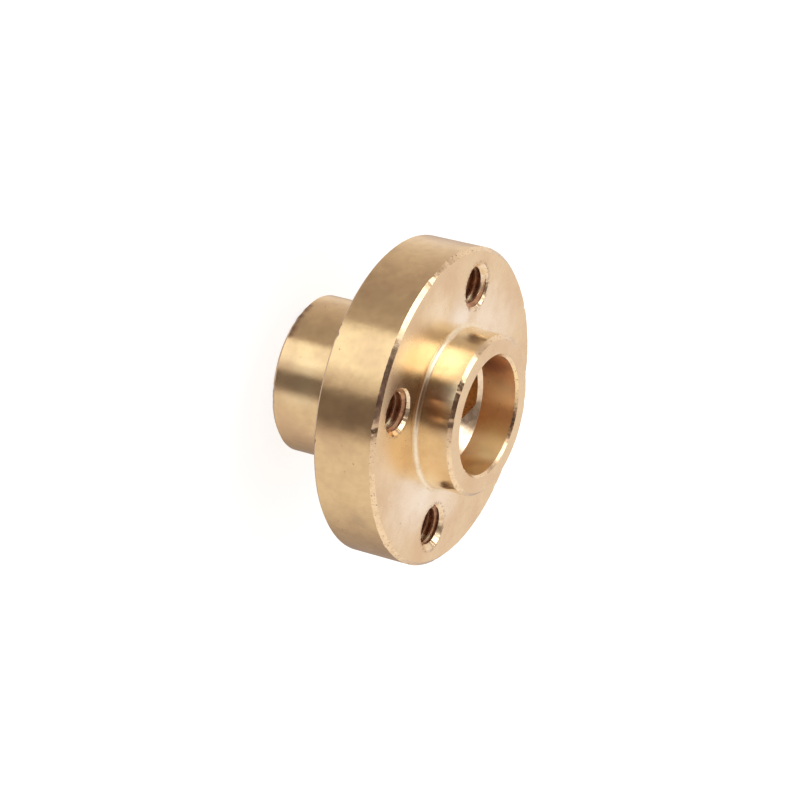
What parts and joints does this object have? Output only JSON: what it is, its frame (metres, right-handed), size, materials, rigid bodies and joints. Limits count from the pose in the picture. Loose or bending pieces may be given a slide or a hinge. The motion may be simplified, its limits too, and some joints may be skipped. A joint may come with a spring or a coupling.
{
  "type": "lead screw nut",
  "caption": "Round flanged brass lead screw nut with a plain rear barrel, a short counterbored boss, tapped screw holes round the flange and a coarse multi-start lead thread.",
  "frame": {"origin": "middle of the rear barrel's end face, on the screw's axis", "axes": "+Z along the screw's axis, from the rear barrel to the front boss; +X and +Y through two neighbouring screw holes"},
  "size_m": [0.022, 0.022, 0.0138],
  "materials": {
    "turned_brass": "bright turned brass, satin on the faced sides, lightly tarnished, with small nicks on its edges"
  },
  "bodies": {
    "root": {"nut": "turned_brass"}
  },
  "joints": []
}
